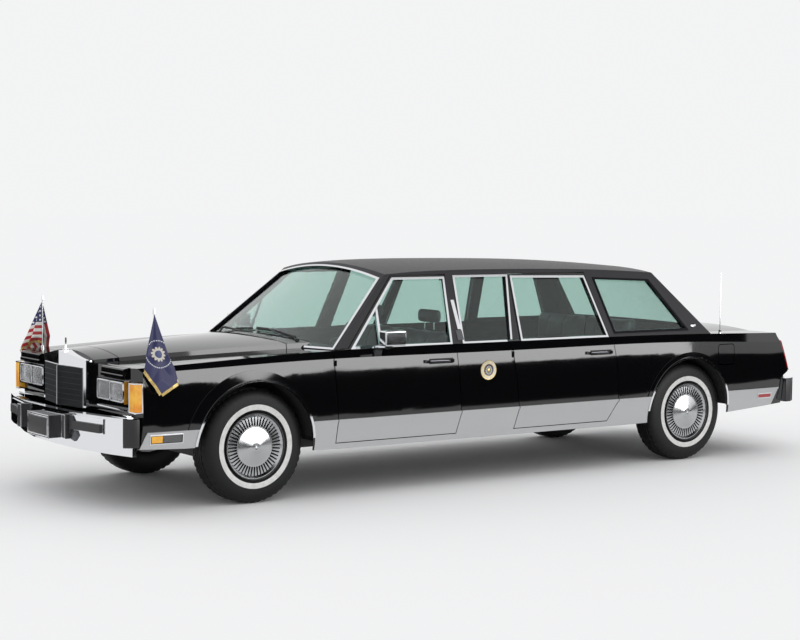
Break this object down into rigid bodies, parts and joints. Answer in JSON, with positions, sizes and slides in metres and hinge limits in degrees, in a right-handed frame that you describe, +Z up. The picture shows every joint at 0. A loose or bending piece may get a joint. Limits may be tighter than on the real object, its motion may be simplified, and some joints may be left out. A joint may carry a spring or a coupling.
{
  "type": "stretched limousine",
  "caption": "Long formal limousine with opening doors, hood and trunk lid, steered front wheels, a padded roof and flag staffs on the fenders.",
  "frame": {"origin": "on the ground at the middle of the car's length and width", "axes": "+Z up, the car faces -Y and its own left side is +X"},
  "size_m": [2.256, 6.706, 1.6564],
  "materials": {
    "black_paint": "gloss",
    "roof_vinyl": "matte",
    "tinted_glass": "gloss",
    "clear_glass": "gloss",
    "brushed_trim": "satin",
    "chrome": "gloss",
    "black_plastic": "matte",
    "black_rubber": "satin",
    "chassis_black": "satin",
    "engine_iron": "matte",
    "exhaust_steel": "satin",
    "grille_grey": "satin",
    "amber_plastic": "gloss",
    "red_plastic": "gloss",
    "interior_plastic": "matte",
    "seat_leather": "satin",
    "flag_cloth": "matte",
    "tyre_rubber": "matte",
    "wheel_metal": "satin"
  },
  "bodies": {
    "body": {"body_shell": "black_paint", "front_fenders": "black_paint", "nose_panel": "black_paint", "roof": "roof_vinyl", "fixed_glass": "tinted_glass", "side_cladding": "brushed_trim", "screen_trim": "chrome", "bright_trim": "chrome", "wheel_liners": "black_plastic", "floor_pan": "chassis_black", "chassis_frame": "chassis_black", "driveline": "chassis_black", "engine_block": "engine_iron", "fuel_tank": "chassis_black", "exhaust": "exhaust_steel", "front_bumper": "chrome", "rear_bumper": "chrome", "bumper_pads": "black_rubber", "grille_shell": "chrome", "grille_bars": "grille_grey", "headlamp_bezels": "chrome", "headlamp_lenses": "clear_glass", "corner_lamps": "amber_plastic", "tail_lamps": "red_plastic", "nose_ornament": "chrome", "dashboard": "interior_plastic", "front_seats": "seat_leather", "rear_bench": "seat_leather", "jump_seats": "seat_leather", "masts": "chrome", "flags": "flag_cloth"},
    "knuckle_left": {"knuckle_left": "chassis_black"},
    "front_door_left": {"front_door_left": "black_paint", "front_door_left_glass": "tinted_glass", "front_door_left_trim": "chrome"},
    "front_left_wheel": {"front_left_tyre": "tyre_rubber", "front_left_wheel": "wheel_metal"},
    "rear_door_left": {"rear_door_left": "black_paint", "rear_door_left_glass": "tinted_glass", "rear_door_left_trim": "chrome"},
    "rear_left_wheel": {"rear_left_tyre": "tyre_rubber", "rear_left_wheel": "wheel_metal"},
    "knuckle_right": {"knuckle_right": "chassis_black"},
    "front_door_right": {"front_door_right": "black_paint", "front_door_right_glass": "tinted_glass", "front_door_right_trim": "chrome"},
    "front_right_wheel": {"front_right_tyre": "tyre_rubber", "front_right_wheel": "wheel_metal"},
    "rear_door_right": {"rear_door_right": "black_paint", "rear_door_right_glass": "tinted_glass", "rear_door_right_trim": "chrome"},
    "rear_right_wheel": {"rear_right_tyre": "tyre_rubber", "rear_right_wheel": "wheel_metal"},
    "hood": {"hood": "black_paint"},
    "trunk_lid": {"trunk_lid": "black_paint"},
    "fuel_door": {"fuel_door": "black_paint"},
    "steering_wheel": {"steering_wheel": "interior_plastic"}
  },
  "joints": [
    {"name": "steer_left", "type": "hinge", "parent": "body", "child": "knuckle_left", "pos_m": [0.69, -2.135, 0.4], "axis": [0, 0, 1], "range_deg": [-30, 30]},
    {"name": "steer_right", "type": "hinge", "parent": "body", "child": "knuckle_right", "pos_m": [-0.69, -2.135, 0.4], "axis": [0, 0, 1], "range_deg": [-30, 30]},
    {"name": "steering_wheel_turn", "type": "hinge", "parent": "body", "child": "steering_wheel", "pos_m": [0.38, -1.02, 0.905], "axis": [0, 0.8829, 0.4695], "range_deg": [-480, 480]},
    {"name": "front_left_roll", "type": "hinge", "parent": "knuckle_left", "child": "front_left_wheel", "pos_m": [0.788, -2.135, 0.4], "axis": [1, 0, 0], "continuous": true},
    {"name": "rear_left_roll", "type": "hinge", "parent": "body", "child": "rear_left_wheel", "pos_m": [0.788, 2.005, 0.4], "axis": [1, 0, 0], "continuous": true},
    {"name": "front_door_left_hinge", "type": "hinge", "parent": "body", "child": "front_door_left", "pos_m": [0.988, -1.545, 0.96], "axis": [0, 0, -1], "range_deg": [0, 65]},
    {"name": "rear_door_left_hinge", "type": "hinge", "parent": "body", "child": "rear_door_left", "pos_m": [0.988, 0.071, 0.96], "axis": [0, 0, -1], "range_deg": [0, 65]},
    {"name": "front_right_roll", "type": "hinge", "parent": "knuckle_right", "child": "front_right_wheel", "pos_m": [-0.788, -2.135, 0.4], "axis": [1, 0, 0], "continuous": true},
    {"name": "rear_right_roll", "type": "hinge", "parent": "body", "child": "rear_right_wheel", "pos_m": [-0.788, 2.005, 0.4], "axis": [1, 0, 0], "continuous": true},
    {"name": "front_door_right_hinge", "type": "hinge", "parent": "body", "child": "front_door_right", "pos_m": [-0.988, -1.545, 0.96], "axis": [0, 0, 1], "range_deg": [0, 65]},
    {"name": "rear_door_right_hinge", "type": "hinge", "parent": "body", "child": "rear_door_right", "pos_m": [-0.988, 0.071, 0.96], "axis": [0, 0, 1], "range_deg": [0, 65]},
    {"name": "hood_hinge", "type": "hinge", "parent": "body", "child": "hood", "pos_m": [0, -1.7, 1.113], "axis": [-1, 0, 0], "range_deg": [0, 55]},
    {"name": "trunk_hinge", "type": "hinge", "parent": "body", "child": "trunk_lid", "pos_m": [0, 2.44, 1.075], "axis": [1, 0, 0], "range_deg": [0, 75]},
    {"name": "fuel_door_hinge", "type": "hinge", "parent": "body", "child": "fuel_door", "pos_m": [0.984, 2.277, 0.865], "axis": [0, 0, -1], "range_deg": [0, 90]}
  ],
  "couplings": [
    {"joint": "steer_right", "follows": "steer_left", "ratio": 1},
    {"joint": "steering_wheel_turn", "follows": "steer_left", "ratio": 16}
  ]
}
